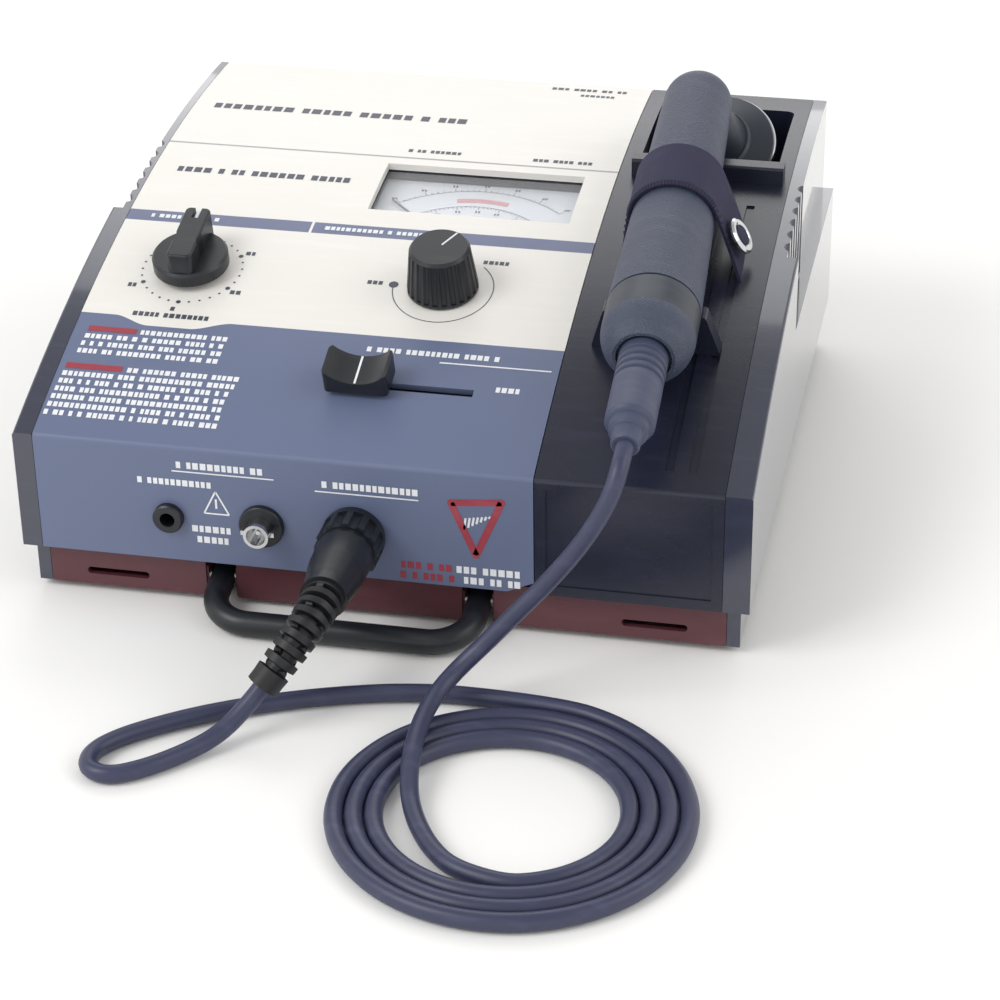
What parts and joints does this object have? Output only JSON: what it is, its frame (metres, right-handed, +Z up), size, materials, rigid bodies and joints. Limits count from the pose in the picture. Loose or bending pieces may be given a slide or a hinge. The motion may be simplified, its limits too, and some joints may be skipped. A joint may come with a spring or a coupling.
{
  "type": "ultrasound therapy device",
  "caption": "Bench-top ultrasound therapy unit: sloping panel with turning knobs, slide control and needle meter, fold-out front carry handle, corded angled applicator strapped on its deck.",
  "frame": {"origin": "on the table, below the middle of the bounding box of everything but the cord and its plug", "axes": "+X to the operator's right, +Y to the rear, +Z up; the operator stands at -Y"},
  "size_m": [0.305, 0.4943, 0.1641],
  "materials": {
    "shell_dark": "satin dark charcoal-blue moulding",
    "panel_print": "printed white and slate blue",
    "base_maroon": "satin maroon",
    "knob_black": "satin black",
    "handle_black": "satin black",
    "rubber_black": "matte",
    "grip_plastic": "fine leather grain",
    "smooth_plastic": "smooth satin",
    "boot_rubber": "matte, ribbed",
    "cord_sheath": "smooth satin",
    "bright_metal": "bright",
    "face_metal": "satin",
    "steel": "plain",
    "webbing": "woven webbing",
    "window": "clear",
    "dial_white": "printed",
    "needle_paint": "matte",
    "inner_plastic": "plain",
    "iron": "varnished",
    "winding": "wound wire",
    "bare_aluminium": "plain",
    "rear_paint": "fine texture",
    "board_green": "solder mask",
    "ceramic": "fired ceramic"
  },
  "bodies": {
    "case": {"accessory_deck": "shell_dark", "applicator_boot": "boot_rubber", "base_pan": "base_maroon", "base_screws": "steel", "board_screws": "steel", "board_standoffs": "steel", "coax_socket": "bright_metal", "coax_surround": "knob_black", "control_panel": "panel_print", "cord_coil": "cord_sheath", "cord_lead_in": "cord_sheath", "cord_lead_out": "cord_sheath", "crystal": "ceramic", "crystal_contact": "steel", "feet": "rubber_black", "front_cradle": "shell_dark", "fuse": "bright_metal", "fuse_cap": "knob_black", "fuse_holder": "knob_black", "handle_collar": "smooth_plastic", "handle_pins": "steel", "handle_shell": "grip_plastic", "head_flange": "smooth_plastic", "head_neck": "smooth_plastic", "heat_sink": "bare_aluminium", "intensity_pot": "inner_plastic", "left_cheek": "shell_dark", "main_board": "board_green", "mains_inlet": "knob_black", "meter_bezel": "knob_black", "meter_case": "inner_plastic", "meter_dial": "dial_white", "meter_lens": "window", "meter_movement": "iron", "nose_cone": "grip_plastic", "output_receptacle": "knob_black", "phone_jack": "knob_black", "plug_body": "knob_black", "plug_boot": "rubber_black", "power_transistors": "inner_plastic", "rear_cradle": "shell_dark", "rear_panel": "rear_paint", "rear_screws": "steel", "right_cheek": "shell_dark", "slide_body": "inner_plastic", "strap": "webbing", "strap_snap": "bright_metal", "timer_body": "inner_plastic", "transducer_face": "face_metal", "transformer_core": "iron", "transformer_winding": "winding"},
    "timer": {"timer_knob": "knob_black", "timer_shaft": "steel"},
    "intensity": {"intensity_knob": "knob_black", "intensity_shaft": "steel"},
    "slider": {"slide_knob": "knob_black"},
    "needle": {"meter_needle": "needle_paint"},
    "front_handle": {"carry_handle": "handle_black"},
    "coupling": {"plug_ring": "knob_black"}
  },
  "joints": [
    {"name": "timer_turn", "type": "hinge", "parent": "case", "child": "timer", "pos_m": [-0.104, -0.0378, 0.10637], "axis": [0, -0.2302, 0.9732], "range_deg": [-300, 0]},
    {"name": "intensity_turn", "type": "hinge", "parent": "case", "child": "intensity", "pos_m": [0.0065, -0.0378, 0.10637], "axis": [0, -0.2302, 0.9732], "range_deg": [-150, 130]},
    {"name": "pulse_slide", "type": "slide", "parent": "case", "child": "slider", "axis": [1, 0, 0], "range_m": [0, 0.043]},
    {"name": "needle_swing", "type": "hinge", "parent": "case", "child": "needle", "pos_m": [0.006, -0.0023, 0.11483], "axis": [0, -0.1274, 0.9919], "range_deg": [-90, 0]},
    {"name": "handle_fold", "type": "hinge", "parent": "case", "child": "front_handle", "pos_m": [-0.014, -0.1294, 0.011], "axis": [-1, 0, 0], "range_deg": [0, 34]},
    {"name": "coupling_turn", "type": "hinge", "parent": "case", "child": "coupling", "pos_m": [-0.009, -0.1469, 0.0422], "axis": [0, 1, 0], "range_deg": [0, 45]}
  ]
}
